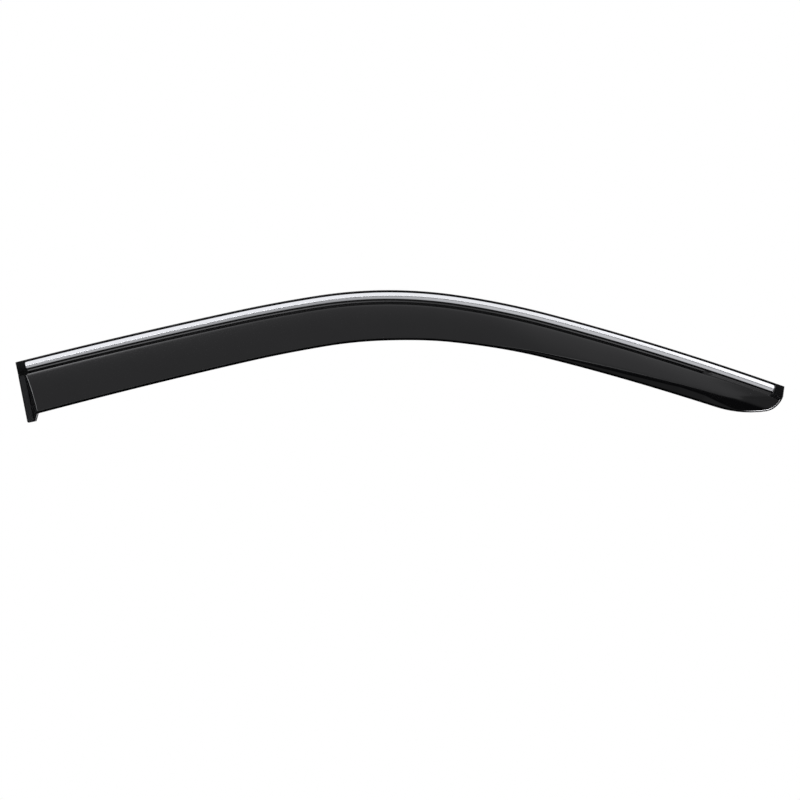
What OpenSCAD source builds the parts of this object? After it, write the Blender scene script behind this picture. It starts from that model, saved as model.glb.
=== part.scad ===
// Window rain deflector for the front side door, right-hand side of the car.
// A smoked shield arches over the top of the window, and a bright strip lies in its rail.
// X runs along the door toward the nose, Z is up and the outer face looks along -Y.
// The plane y = 0 is the painted door frame that the tape bonds to.
// The origin lies on it, on the centre line of the tape at the crown of the arch.

/* [Roof-side edge] */
// Radius of the edge over the crown of the arch
crown_r = 526; // [460:1:600]
// Length of the crown's arc behind the highest point
crown_rear_l = 81; // [60:1:100]
// Length of the crown's arc ahead of the highest point
crown_front_l = 76; // [60:1:95]
// Radius of the rear shoulder
rear_shoulder_r = 1608; // [1200:1:2200]
// Length of the rear shoulder
rear_shoulder_l = 93; // [70:1:120]
// Radius of the long, nearly straight rear arm
rear_arm_r = 7121; // [5000:1:9000]
// Length of the rear arm
rear_arm_l = 254; // [235:1:275]
// Radius of the front shoulder
front_shoulder_r = 949; // [800:1:1200]
// Length of the front shoulder
front_shoulder_l = 110; // [90:1:130]
// Radius of the front arm
front_arm_r = 3395; // [2800:1:4200]
// Length of the front arm
front_arm_l = 272; // [262:1:282]

/* [Depth of the shield] */
// Depth from the roof-side edge to the bottom edge at the post
depth_post = 62.6; // [58:0.1:66]
// Depth where the rear arm meets the rear shoulder
depth_rear_arm = 59; // [56:0.1:62]
// Depth at the crown
depth_crown = 56.7; // [53:0.1:60]
// Depth where the crown meets the front shoulder
depth_front_shoulder = 53.6; // [50:0.1:57]
// Depth where the front shoulder meets the front arm
depth_front_arm = 49.5; // [46:0.1:53]
// Depth where the bottom edge starts to lift toward the nose
depth_nose = 47; // [44:0.1:50]

/* [Nose] */
// Length of the roof-side edge ahead of the place where the bottom edge starts to lift
nose_l = 66.2; // [64:0.1:70]
// Radius of the long curve that lifts the bottom edge toward the nose
nose_sole_r = 128.8; // [115:0.1:145]
// Length of that curve
nose_sole_l = 57.2; // [52:0.1:62]
// Radius of the tip
nose_tip_r = 24; // [21:0.1:27]
// Length of the tip's curve
nose_tip_l = 31.4; // [29:0.1:33]
// Lean of the front end, away from upright
nose_end_lean = 5; // [0:0.5:10]
// Radius of the outer face where it closes down to the door frame
nose_dome_r = 250; // [220:1:290]
// Stand-off at the top of that rounding
nose_dome_h = 15.3; // [14.5:0.1:17]
// Fall of the panel's outer face toward that rounding, in degrees
front_fall = 1.5; // [1:0.1:2]
// Stand-off of the outer face at the very tip
nose_tip_h = 4.1; // [3.9:0.1:4.6]

/* [Rail and panel] */
// Width of the lip above the bright strip
lip_w = 2; // [1.6:0.1:2.6]
// Height of the lip and the ledge above the back of the rail
lip_h = 3.8; // [3.4:0.1:4.4]
// Corner cut along the lip
lip_cut = 0.5; // [0.2:0.1:0.8]
// Thickness of the rail under the strip
floor_t = 2; // [1.6:0.1:2.4]
// Gap below the strip, down to the ledge
strip_shadow = 1.4; // [0.8:0.1:1.8]
// Width of the ledge
ledge_w = 1.7; // [1.2:0.1:2.2]
// Width of the groove between the ledge and the panel
groove_w = 2.6; // [2.2:0.1:3]
// Depth of the groove
groove_depth = 1.4; // [0.8:0.1:1.8]
// Length at the front where there is no groove
plain_front_l = 86; // [60:1:110]
// Slope of the panel at its crease, away from the door
crease_slope = 40; // [34:1:44]
// Radius of the panel's convex section
panel_r = 85; // [80:1:95]
// Wall thickness of the panel, the rear return and the post
panel_t = 2.4; // [2:0.1:2.8]

/* [Rear post] */
// Lean of the post away from upright
post_lean = 11.2; // [9:0.1:14]
// Length of the post from the rail's outer corner to its foot
post_l = 69.5; // [66:0.5:72]
// Width of the post's flat, from its outer edge to the root of the return
post_flat_w = 7.1; // [6:0.1:8]
// Draft of the return wall
return_draft = 17.6; // [14:0.1:20]
// Radius at the root of the return wall
return_root_r = 2; // [1:0.1:2.6]
// Rise of the return's lower edge, from the post out to the panel
return_rise = 8; // [5:0.1:10]
// Corner radius at the post's foot
post_corner_r = 1.6; // [0.8:0.1:2]

/* [Bright strip] */
// Width of the strip
strip_w = 7.8; // [7:0.1:8.6]
// Height of the strip
strip_h = 2.6; // [2.3:0.1:3]
// Height of the strip's turned-down edges
strip_leg_h = 0.8; // [0.6:0.1:1]
// Sheet thickness
strip_t = 0.5; // [0.4:0.05:0.6]
// Clearance beside the strip and at its ends
strip_gap = 0.4; // [0.2:0.05:0.6]
// Width of the foam tape under the strip
strip_tape_w = 4; // [3:0.1:4.6]

/* [End caps] */
// Length of a cap along the rail
cap_l = 10; // [8:0.1:13]
// Height of a cap above its seat
cap_h = 3.4; // [3.2:0.1:4]
// Corner cut along a cap
cap_cut = 0.7; // [0.3:0.1:1]
// Height of the foot above the seat
cap_foot_h = 1.8; // [1.4:0.1:2.4]
// Reach of the foot past the cap's inner end
cap_foot_reach = 2; // [1:0.1:4]
// Length of the tongue that plugs into the strip
tongue_l = 8; // [5:0.1:12]
// Width of the tongue
tongue_w = 5; // [4:0.1:5.4]
// Height of the tongue
tongue_h = 1.1; // [0.8:0.05:1.2]
// Clearance beside a cap's foot and at its inner end
cap_gap = 0.15; // [0.1:0.05:0.3]

/* [Bonding tape] */
// Width of the tape on the rail
tape_w = 9; // [7:0.1:11]
// Depth of the tape's centre line below the roof-side edge
tape_d = 6.5; // [6:0.1:7.5]
// Thickness of the foam tape
tape_t = 1.1; // [0.8:0.05:1.4]
// Thickness of the release liner
liner_t = 0.13; // [0.1:0.01:0.2]
// Half of the crown tape's length
tape_crown_half_l = 145; // [110:1:170]
// Gap between two lengths of tape
tape_break = 5; // [3:0.5:8]
// Bare length at each end of the rail
tape_end = 6; // [4:0.5:10]
// Overhang of a liner past the end of its tape
liner_over = 1.5; // [0:0.1:2]
// Width of the tape on the post
post_tape_w = 6; // [5:0.1:7]

/* [Hidden] */

// Reach of a cutter or a trimmed sweep past what it cuts
overrun = 8;
// Lap of each run of a sweep over its neighbour, which joins them
run_lap = 0.05;
// Fineness of the long arcs, and how many chords stand for each outline arc
arc_fn = 720;
outline_steps = 9;
panel_steps = 9;
crown_steps = 8;
root_steps = 4;

// Heights above the bonding plane
back_h = liner_t + tape_t;
floor_h = back_h + floor_t;
ledge_h = back_h + lip_h;
groove_h = ledge_h - groove_depth;
flange_h = back_h + panel_t;

// Distances down from the roof-side edge
strip_d = lip_w + strip_gap + strip_w / 2;
ledge_d = lip_w + strip_gap + strip_w + strip_shadow;
groove_d = ledge_d + ledge_w;
crease_d = groove_d + groove_w;
// A cap's body spans the rail down to the groove, and its foot stands in the groove
cap_w = groove_d;
cap_foot_d = crease_d - cap_gap;

// The panel's section is an arc about this point, in distance down and height
panel_centre = [crease_d + panel_r * sin(crease_slope), ledge_h - panel_r * cos(crease_slope)];
panel_top_h = panel_centre[1] + panel_r;
inner_r = panel_r - panel_t;
inner_slope = acos((back_h - panel_centre[1]) / inner_r);
hollow_d = panel_centre[0] - inner_r * sin(inner_slope);

// Runs of the roof-side edge, each a radius and a length, from the crown outward
rear_l = crown_rear_l + rear_shoulder_l + rear_arm_l;
front_l = crown_front_l + front_shoulder_l + front_arm_l;
whole_l = rear_l + front_l;
REAR_RUNS = [[crown_r, crown_rear_l],
             [rear_shoulder_r, rear_shoulder_l],
             [rear_arm_r, rear_arm_l + overrun]];
FRONT_RUNS = [[crown_r, crown_front_l],
              [front_shoulder_r, front_shoulder_l],
              [front_arm_r, front_arm_l + overrun]];

// Runs that lift the bottom edge to the nose, with a radius below zero
NOSE_RUNS = [[-nose_sole_r, nose_sole_l],
             [-nose_tip_r, nose_tip_l]];

// A place on a path is [x, z, heading], with the heading's angle below level
function turned(run) = run[1] / run[0] * 180 / PI;
function after(place, run) =
    let (heading = place[2] + turned(run))
    [place[0] + run[0] * (sin(heading) - sin(place[2])),
     place[1] + run[0] * (cos(heading) - cos(place[2])),
     heading];
function place_at(start, runs, i) =
    i == 0 ? start : after(place_at(start, runs, i - 1), runs[i - 1]);
function path_points(start, runs) =
    [for (i = [0 : len(runs) - 1])
        let (from = place_at(start, runs, i))
        for (k = [1 : outline_steps])
            after(from, [runs[i][0], runs[i][1] * k / outline_steps])];
function length_before(runs, i) = i == 0 ? 0 : length_before(runs, i - 1) + runs[i - 1][1];

// Ends of the roof-side edge, with the rear one as if it ran forward
EDGE_START = [0, tape_d, 0];
rear_end = after(place_at(EDGE_START, REAR_RUNS, 2), [rear_arm_r, rear_arm_l]);
front_end = after(place_at(EDGE_START, FRONT_RUNS, 2), [front_arm_r, front_arm_l]);

// Depths of the shield from the rear end to the nose, each after its station along the edge
DEPTHS = [[-rear_l, depth_post],
          [-crown_rear_l - rear_shoulder_l, depth_rear_arm],
          [0, depth_crown],
          [crown_front_l, depth_front_shoulder],
          [crown_front_l + front_shoulder_l, depth_front_arm],
          [front_l - nose_l, depth_nose]];
last_depth = len(DEPTHS) - 1;
function depth_slope(i) =
    let (a = DEPTHS[max(i - 1, 0)], b = DEPTHS[min(i + 1, last_depth)])
    (b[1] - a[1]) / (b[0] - a[0]);
// Smooth depth at a station in the span after depth i, as a cubic between the two depths
function depth_in_span(i, station) =
    let (span = DEPTHS[i + 1][0] - DEPTHS[i][0],
         t = (station - DEPTHS[i][0]) / span,
         rise = DEPTHS[i + 1][1] - DEPTHS[i][1])
    DEPTHS[i][1] + rise * t * t * (3 - 2 * t)
        + span * t * (1 - t) * (depth_slope(i) * (1 - t) - depth_slope(i + 1) * t);

// Place on the roof-side edge at a station, with the heading turned to run forward
function edge_at(station) =
    let (runs = station < 0 ? REAR_RUNS : FRONT_RUNS,
         side = station < 0 ? -1 : 1,
         l = abs(station),
         i = l > length_before(runs, 2) ? 2 : l > length_before(runs, 1) ? 1 : 0,
         place = after(place_at(EDGE_START, runs, i), [runs[i][0], l - length_before(runs, i)]))
    [side * place[0], place[1], side * place[2]];
function below_edge(station, depth) =
    let (place = edge_at(station))
    [place[0] - depth * sin(place[2]), place[1] - depth * cos(place[2])];

// Bottom outline in X and Z, from the rear to the front, and then round the nose
bottom_pts = concat([below_edge(-rear_l, depth_post)],
                    [for (i = [0 : last_depth - 1])
                        for (k = [1 : outline_steps])
                            let (station = DEPTHS[i][0]
                                     + (DEPTHS[i + 1][0] - DEPTHS[i][0]) * k / outline_steps)
                            below_edge(station, depth_in_span(i, station))]);
nose_start = let (p = bottom_pts[len(bottom_pts) - 1])
             [p[0], p[1], edge_at(front_l - nose_l)[2] + atan(depth_slope(last_depth))];
nose_pts = path_points(nose_start, NOSE_RUNS);
nose_end = nose_pts[len(nose_pts) - 1];
envelope_top = tape_d + overrun;

// Sweeps the section, given in distance down and height, between two stations of one half
module half_sweep(runs, from, to) {
    for (i = [0 : len(runs) - 1]) {
        radius = runs[i][0];
        start = length_before(runs, i);
        s0 = i == 0 ? from : max(from, start);
        run_end = start + runs[i][1];
        s1 = to > run_end ? run_end + run_lap : to;
        if (s1 > s0) {
            place = place_at(EDGE_START, runs, i);
            heading = place[2] + turned([radius, s0 - start]);
            sweep_angle = turned([radius, s1 - s0]);
            translate([place[0] - radius * sin(place[2]), 0, place[1] - radius * cos(place[2])])
                rotate([90, 0, 0])
                    rotate_extrude(angle = sweep_angle, start = 90 - heading - sweep_angle,
                                   $fn = arc_fn)
                        translate([radius, 0])
                            mirror([1, 0])
                                children();
        }
    }
}

// Stations are lengths along the roof-side edge, below zero behind the crown
module sweep(from, to) {
    if (to > 0)
        half_sweep(FRONT_RUNS, max(from, -run_lap), to)
            children();
    if (from < 0)
        mirror([1, 0, 0])
            half_sweep(REAR_RUNS, max(-to, -run_lap), -from)
                children();
}

// Puts a shape drawn in X and height into a frame that runs down the post
module in_post_frame() {
    translate([-rear_end[0], 0, rear_end[1]])
        rotate([0, -post_lean, 0])
            children();
}

// Everything above the bottom edge and behind the front end, as seen from outside
module side_envelope() {
    end_top = nose_end[0] + (envelope_top - nose_end[1]) * tan(nose_end_lean);
    nose_side = [for (p = nose_pts) [p[0], p[1]]];
    rotate([90, 0, 0])
        translate([0, 0, -overrun])
            linear_extrude(height = panel_top_h + 2 * overrun)
                polygon(concat([[bottom_pts[0][0], envelope_top]],
                               bottom_pts,
                               nose_side,
                               [[end_top, envelope_top]]));
}

// Everything under the outer face that falls toward the nose and then rounds down to its tip,
// less an inset
module nose_mould(inset) {
    dome_centre_h = nose_dome_h - nose_dome_r;
    reach = sqrt(pow(nose_dome_r, 2) - pow(nose_tip_h - dome_centre_h, 2));
    r = nose_dome_r - inset;
    meet = [r * sin(front_fall), dome_centre_h + r * cos(front_fall)];
    translate([nose_end[0], 0, nose_end[1]])
        rotate([0, front_end[2], 0])
            translate([-reach, 0, 0])
                linear_extrude(height = whole_l, center = true)
                    mirror([0, 1]) {
                        polygon([[-whole_l, -overrun],
                                 [meet[0], -overrun],
                                 meet,
                                 [-whole_l, meet[1] + (meet[0] + whole_l) * tan(front_fall)]]);
                        intersection() {
                            translate([0, dome_centre_h])
                                circle(r = r, $fn = arc_fn);
                            translate([meet[0], -overrun])
                                square([nose_dome_r, nose_dome_h + overrun]);
                        }
                    }
}

// Everything ahead of the return wall's outer face, less an inset
module ahead_of_return(inset) {
    side = inset / cos(return_draft);
    in_post_frame()
        linear_extrude(height = whole_l, center = true)
            mirror([0, 1])
                polygon([[return_at(-overrun) + side, -overrun],
                         [whole_l, -overrun],
                         [whole_l, panel_top_h + overrun],
                         [return_at(panel_top_h + overrun) + side, panel_top_h + overrun]]);
}
// Place of the return wall's outer face across the post, at one height
return_root = return_root_r * tan(45 - return_draft / 2);
function return_at(h) = post_flat_w + return_root + (h - flange_h) * tan(return_draft);

// Sections of the shield, in distance down and height
module rail_section() {
    polygon([[0, back_h],
             [0, ledge_h - lip_cut],
             [lip_cut, ledge_h],
             [lip_w, ledge_h],
             [lip_w, floor_h],
             [ledge_d, floor_h],
             [ledge_d, ledge_h],
             [crease_d, ledge_h],
             [crease_d, back_h]]);
}
function panel_arc(radius, from_slope) =
    [for (k = [0 : panel_steps])
        let (slope = from_slope * (1 - k / panel_steps))
        [panel_centre[0] - radius * sin(slope), panel_centre[1] + radius * cos(slope)]];
module under_panel_section() {
    polygon(concat([[groove_d, back_h],
                    [groove_d, floor_h]],
                   panel_arc(panel_r, crease_slope),
                   [[panel_centre[0] + overrun, panel_top_h],
                    [panel_centre[0] + overrun, back_h]]));
}
module hollow_section() {
    polygon(concat([[hollow_d, back_h - overrun]],
                   panel_arc(inner_r, inner_slope),
                   [[panel_centre[0] + 2 * overrun, panel_centre[1] + inner_r],
                    [panel_centre[0] + 2 * overrun, back_h - overrun]]));
}

module rail() {
    intersection() {
        sweep(-rear_l, front_l + overrun)
            rail_section();
        side_envelope();
    }
}

// The groove between the ledge and the panel, which stops short of the nose
module rail_groove() {
    sweep(-rear_l - overrun, front_l - plain_front_l)
        translate([groove_d, groove_h])
            square([groove_w, 2 * groove_depth]);
}

// The panel ends within the return wall
module panel_block() {
    intersection() {
        sweep(-rear_l, front_l + overrun)
            under_panel_section();
        side_envelope();
        nose_mould(0);
        ahead_of_return(panel_t / 2);
    }
}

// The open space behind the panel, which the return wall closes at the rear
module hollow() {
    intersection() {
        sweep(-rear_l, front_l + overrun)
            hollow_section();
        nose_mould(panel_t);
        ahead_of_return(0);
    }
}

// Section of the return wall across the post, with a concave fillet at its root
module return_section() {
    side = panel_t / cos(return_draft);
    root_arc = [for (k = [0 : root_steps])
                   let (a = (90 - return_draft) * k / root_steps)
                   [post_flat_w + return_root_r * sin(a),
                    flange_h + return_root_r * (1 - cos(a))]];
    polygon(concat([[post_flat_w, back_h]],
                   root_arc,
                   [[return_at(panel_top_h), panel_top_h],
                    [return_at(panel_top_h) + side, panel_top_h],
                    [return_at(back_h) + side, back_h]]));
}

// The wall that turns from the panel's rear edge back to the post
module return_wall() {
    intersection() {
        sweep(-rear_l, -crown_rear_l - rear_shoulder_l)
            under_panel_section();
        in_post_frame()
            linear_extrude(height = 2 * post_l, center = true)
                mirror([0, 1])
                    return_section();
        in_post_frame()
            rotate([90, 0, 90])
                linear_extrude(height = 2 * post_l, center = true)
                    mirror([1, 0])
                        polygon([[back_h, -post_l],
                                 [flange_h, -post_l],
                                 [panel_top_h, return_rise - post_l],
                                 [panel_top_h, post_l],
                                 [back_h, post_l]]);
    }
}

// The flange's inner edge lies within the return wall
module post_flange() {
    flange_w = return_at(back_h) + panel_t / 2;
    in_post_frame()
        rotate([90, 0, 0])
            translate([0, 0, back_h])
                linear_extrude(height = panel_t)
                    foot_rounded_bar(flange_w, post_l, post_corner_r);
}
// A bar that hangs down from the origin, with its two lower corners rounded
module foot_rounded_bar(w, l, r) {
    translate([0, r - l])
        square([w, l - r]);
    translate([r, -l])
        square([w - 2 * r, l]);
    for (x = [r, w - r])
        translate([x, r - l])
            circle(r = r, $fn = arc_fn);
}

// Seat of an end cap: its body down to the groove, and its foot to the crease
module cap_pocket(from, to, foot_from, foot_to) {
    sweep(from, to)
        translate([-overrun, floor_h])
            square([overrun + cap_w, overrun]);
    sweep(foot_from, foot_to)
        translate([cap_w - cap_gap, floor_h])
            square([groove_w + cap_gap, overrun]);
}

module visor_shield() {
    color("#26272a")
        difference() {
            union() {
                difference() {
                    union() {
                        rail();
                        panel_block();
                    }
                    hollow();
                }
                return_wall();
                post_flange();
            }
            rail_groove();
            cap_pocket(-rear_l - overrun, cap_l + cap_gap - rear_l,
                       -rear_l - overrun, cap_l + cap_foot_reach + cap_gap - rear_l);
            cap_pocket(front_l - cap_l - cap_gap, front_l + overrun,
                       front_l - cap_l - cap_foot_reach - cap_gap, front_l + overrun);
        }
}

// Outline of the strip's crown and legs, inset from its outer face
function strip_outline(inset) =
    let (half = strip_w / 2 - inset,
         rise = strip_h - strip_leg_h,
         outer_half = strip_w / 2,
         outer_r = (pow(outer_half, 2) + pow(rise, 2)) / (2 * rise),
         r = outer_r - inset,
         half_angle = asin(half / r))
    concat([[strip_d - half, floor_h]],
           [for (k = [0 : crown_steps])
               let (a = half_angle * (2 * k / crown_steps - 1))
               [strip_d + r * sin(a), floor_h + strip_h - outer_r + r * cos(a)]],
           [[strip_d + half, floor_h]]);

module bright_strip() {
    color("#dcdde0")
        sweep(cap_l + strip_gap - rear_l, front_l - cap_l - strip_gap)
            difference() {
                polygon(strip_outline(0));
                polygon(strip_outline(strip_t));
            }
}

module strip_tape() {
    tape_inset = cap_l + strip_gap + tongue_l;
    color("#3a3b3d")
        sweep(tape_inset - rear_l, front_l - tape_inset)
            intersection() {
                polygon(strip_outline(strip_t));
                translate([strip_d - strip_tape_w / 2, floor_h])
                    square([strip_tape_w, strip_h]);
            }
}

// Sections of an end cap, in distance down and height
module cap_section() {
    polygon([[0, floor_h],
             [0, floor_h + cap_h - cap_cut],
             [cap_cut, floor_h + cap_h],
             [cap_w - cap_cut, floor_h + cap_h],
             [cap_w, floor_h + cap_h - cap_cut],
             [cap_w, floor_h + cap_foot_h],
             [cap_foot_d, floor_h + cap_foot_h],
             [cap_foot_d, floor_h]]);
}
module cap_foot_section() {
    translate([cap_w, floor_h])
        square([cap_foot_d - cap_w, cap_foot_h]);
}
module tongue_section() {
    translate([strip_d - tongue_w / 2, floor_h])
        square([tongue_w, tongue_h]);
}

module rear_end_cap() {
    color("#1b1c1e") {
        sweep(-rear_l, cap_l - rear_l)
            cap_section();
        sweep(cap_l / 2 - rear_l, cap_l + cap_foot_reach - rear_l)
            cap_foot_section();
        sweep(cap_l / 2 - rear_l, cap_l + tongue_l - rear_l)
            tongue_section();
    }
}

module front_end_cap() {
    color("#1b1c1e")
        intersection() {
            union() {
                sweep(front_l - cap_l, front_l + overrun)
                    cap_section();
                sweep(front_l - cap_l - cap_foot_reach, front_l - cap_l / 2)
                    cap_foot_section();
                sweep(front_l - cap_l - tongue_l, front_l - cap_l / 2)
                    tongue_section();
            }
            side_envelope();
        }
}

// A band of tape or liner on the rail, between two stations and two heights
module rail_band(from, to, low, thick) {
    sweep(from, to)
        translate([tape_d - tape_w / 2, low])
            square([tape_w, thick]);
}
module rail_tape(from, to) {
    color("#4b4c4f")
        rail_band(from, to, liner_t, tape_t);
}
module rail_liner(from, to) {
    color("#b3262b")
        rail_band(from - liner_over, to + liner_over, 0, liner_t);
}

// Stations where the three lengths of rail tape start and end
REAR_BAND = [tape_end - rear_l, -tape_crown_half_l - tape_break];
CROWN_BAND = [-tape_crown_half_l, tape_crown_half_l];
FRONT_BAND = [tape_crown_half_l + tape_break, front_l - tape_end];

module rail_tape_rear() rail_tape(REAR_BAND[0], REAR_BAND[1]);
module rail_tape_crown() rail_tape(CROWN_BAND[0], CROWN_BAND[1]);
module rail_tape_front() rail_tape(FRONT_BAND[0], FRONT_BAND[1]);
module liner_rear() rail_liner(REAR_BAND[0], REAR_BAND[1]);
module liner_crown() rail_liner(CROWN_BAND[0], CROWN_BAND[1]);
module liner_front() rail_liner(FRONT_BAND[0], FRONT_BAND[1]);

// A band on the back of the post, below the end of the rail
module post_band(over, low, thick) {
    top = crease_d + 2 * liner_over;
    foot = post_l - post_corner_r - liner_over;
    in_post_frame()
        rotate([90, 0, 0])
            translate([post_flat_w / 2, 0, low])
                linear_extrude(height = thick)
                    translate([-post_tape_w / 2, -foot - over])
                        square([post_tape_w, foot - top + 2 * over]);
}
module post_tape() {
    color("#4b4c4f")
        post_band(0, liner_t, tape_t);
}
module liner_post() {
    color("#b3262b")
        post_band(liner_over / 2, 0, liner_t);
}

visor_shield();
bright_strip();
strip_tape();
rear_end_cap();
front_end_cap();
rail_tape_rear();
rail_tape_crown();
rail_tape_front();
post_tape();
liner_rear();
liner_crown();
liner_front();
liner_post();
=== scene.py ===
"""Window rain deflector for a front door: the looks of its shield, bright strip, end caps and tapes."""

import math

import bmesh
import bpy
import numpy as np
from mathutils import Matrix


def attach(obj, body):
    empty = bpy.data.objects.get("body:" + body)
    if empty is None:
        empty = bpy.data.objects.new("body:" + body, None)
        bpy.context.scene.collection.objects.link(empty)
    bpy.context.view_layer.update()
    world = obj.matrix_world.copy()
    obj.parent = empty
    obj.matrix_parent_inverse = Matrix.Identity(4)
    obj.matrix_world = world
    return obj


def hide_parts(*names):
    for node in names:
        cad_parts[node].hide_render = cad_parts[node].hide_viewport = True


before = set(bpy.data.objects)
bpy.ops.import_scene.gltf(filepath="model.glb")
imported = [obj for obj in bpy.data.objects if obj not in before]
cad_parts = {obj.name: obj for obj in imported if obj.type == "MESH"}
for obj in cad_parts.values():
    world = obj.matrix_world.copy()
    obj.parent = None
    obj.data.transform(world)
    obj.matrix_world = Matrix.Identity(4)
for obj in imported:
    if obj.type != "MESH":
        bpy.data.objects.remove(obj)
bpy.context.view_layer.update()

bl_info = {
    "name": "Window rain deflector",
    "version": (1, 0, 0),
    "blender": (4, 5, 0),
    "location": "View3D > Sidebar > Deflector",
    "description": "Builds an arched door-window rain deflector with its bright strip and end caps",
    "category": "Object",
}

# Sizes that the solids share, in millimetres and radians
MM = 0.001

# Runs of the roof-side edge from the crown outward, each a radius and a length
FRONT_RUNS = ((526.0, 76.0), (949.0, 110.0), (3395.0, 272.0))
REAR_RUNS = ((526.0, 81.0), (1608.0, 93.0), (7121.0, 254.0))
FRONT_L = sum(run[1] for run in FRONT_RUNS)
REAR_L = sum(run[1] for run in REAR_RUNS)
EDGE_TOP = 6.5

# Stations along the edge with the shield's depth at each, then the runs that lift its bottom to the nose
DEPTHS = ((-REAR_L, 62.6), (-174.0, 59.0), (0.0, 56.7), (76.0, 53.6), (186.0, 49.5), (FRONT_L - 66.2, 47.0))
NOSE_RUNS = ((-128.8, 57.2), (-24.0, 31.4))
NOSE_START = DEPTHS[-1][0]
NOSE_END = NOSE_START + sum(run[1] for run in NOSE_RUNS)
END_LEAN = math.radians(5)
# How far the front end's straight line is followed past the nose
END_REACH = 12.0

# Heights above the bonding plane
BACK_H = 1.23
FLOOR_H = BACK_H + 2.0
LEDGE_H = BACK_H + 3.8
GROOVE_H = LEDGE_H - 1.4

# Depths below the roof-side edge
LIP_W, STRIP_GAP, STRIP_W = 2.0, 0.4, 7.8
STRIP_TOP_D = LIP_W + STRIP_GAP
LEDGE_D = STRIP_TOP_D + STRIP_W + 1.4
GROOVE_D = LEDGE_D + 1.7
CREASE_D = GROOVE_D + 2.6
PLAIN_FRONT = 86.0

# The panel's section is an arc about this depth and height
PANEL_R, CREASE_SLOPE = 85.0, math.radians(40)
PANEL_D = CREASE_D + PANEL_R * math.sin(CREASE_SLOPE)
PANEL_H = LEDGE_H - PANEL_R * math.cos(CREASE_SLOPE)

# The face that falls toward the nose and rounds down to its tip
DOME_R, DOME_H, TIP_H, FRONT_FALL = 250.0, 15.3, 4.1, math.radians(1.5)
# The crest line of the nose: its depth, and the tilt toward the roof that the face keeps above it
CREST_D, CREST_TILT = 32.5, math.radians(3.0)
# Where that tilt sets in, along the front face from its arc's start, and over what length
CREST_FROM, CREST_OVER = -42.0, 35.0
# Where the rim turns into two facets round the nose: station, length, lower facet's width and slope
NOSE_FROM, NOSE_OVER, FACET_W, FACET_SLOPE = 395.0, 25.0, 1.2, 0.75
# Widths over which the section's arc meets the front face, the roll the panel, the rim's facets each other
ARC_EASE, ROLL_EASE, RIM_EASE = 0.25, 0.5, 0.16
# Lean of the ledge toward the roof, in degrees, and the drop of its lower corner
LEDGE_LEAN, LEDGE_DROP = 2.5, 0.2

# The post at the rear
POST_LEAN, RETURN_DRAFT = math.radians(11.2), math.radians(17.6)
POST_L, POST_FLAT_W, ROOT_R, PANEL_T = 69.5, 7.1, 2.0, 2.4
FLANGE_H = BACK_H + PANEL_T
RETURN_ROOT = ROOT_R * math.tan(math.radians(45) - RETURN_DRAFT / 2)

# The strip, the caps and the tapes
STRIP_H, STRIP_T = 2.6, 0.5
# How far the outermost skins stay inside the solids
INSET = 0.05
CAP_L, CAP_H, CAP_GAP, FOOT_H, FOOT_REACH = 10.0, 3.4, 0.15, 1.8, 2.0
TONGUE_L, TONGUE_W, TONGUE_H = 8.0, 5.0, 1.1
TAPE_D, TAPE_W, TAPE_T, LINER_T = 6.5, 9.0, 1.1, 0.13
TAPE_CROWN, TAPE_BREAK, TAPE_END, LINER_OVER = 145.0, 5.0, 6.0, 1.5
POST_TAPE_W, POST_CORNER_R = 6.0, 1.6


def colour(hexa):
    """An sRGB hex value as linear RGBA."""
    parts = [int(hexa[i : i + 2], 16) / 255 for i in (1, 3, 5)]
    return (*[v / 12.92 if v <= 0.04045 else ((v + 0.055) / 1.055) ** 2.4 for v in parts], 1.0)


# Curves


def on_runs(start, runs, length):
    """Place and heading at a length along tangent arcs. Within an arc of radius r the heading grows by
    length / r, x by r (sin h1 - sin h0) and z by r (cos h1 - cos h0)."""
    length = np.asarray(length, float)
    x, z, h = np.zeros_like(length), np.zeros_like(length), np.zeros_like(length)
    x0, z0, h0 = start
    l0 = 0.0
    for i, (r, run_l) in enumerate(runs):
        here = length >= l0 if i else np.ones(length.shape, bool)
        turned = h0 + (length - l0) / r
        x = np.where(here, x0 + r * (np.sin(turned) - math.sin(h0)), x)
        z = np.where(here, z0 + r * (np.cos(turned) - math.cos(h0)), z)
        h = np.where(here, turned, h)
        h1 = h0 + run_l / r
        x0 += r * (math.sin(h1) - math.sin(h0))
        z0 += r * (math.cos(h1) - math.cos(h0))
        h0, l0 = h1, l0 + run_l
    return x, z, h


def edge(station):
    """Roof-side edge: x, z and heading at signed lengths from the crown, below zero to the rear."""
    station = np.asarray(station, float)
    fx, fz, fh = on_runs((0.0, EDGE_TOP, 0.0), FRONT_RUNS, np.abs(station))
    rx, rz, rh = on_runs((0.0, EDGE_TOP, 0.0), REAR_RUNS, np.abs(station))
    rear = station < 0
    return np.where(rear, -rx, fx), np.where(rear, rz, fz), np.where(rear, -rh, fh)


def below(station, depth):
    """Points a depth below the roof-side edge, square to it."""
    x, z, h = edge(station)
    return x - depth * np.sin(h), z - depth * np.cos(h)


def depth_at(station):
    """Depth of the shield: a cubic between the named depths, whose slope at each is that of its
    neighbours' chord."""
    s, d = np.array(DEPTHS).T
    slope = np.empty(len(s))
    slope[1:-1] = (d[2:] - d[:-2]) / (s[2:] - s[:-2])
    slope[0], slope[-1] = (d[1] - d[0]) / (s[1] - s[0]), (d[-1] - d[-2]) / (s[-1] - s[-2])
    station = np.asarray(station, float)
    i = np.clip(np.searchsorted(s, station) - 1, 0, len(s) - 2)
    span = s[i + 1] - s[i]
    t = (station - s[i]) / span
    eased = d[i] + (d[i + 1] - d[i]) * t * t * (3 - 2 * t)
    return eased + span * t * (1 - t) * (slope[i] * (1 - t) - slope[i + 1] * t)


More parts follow.
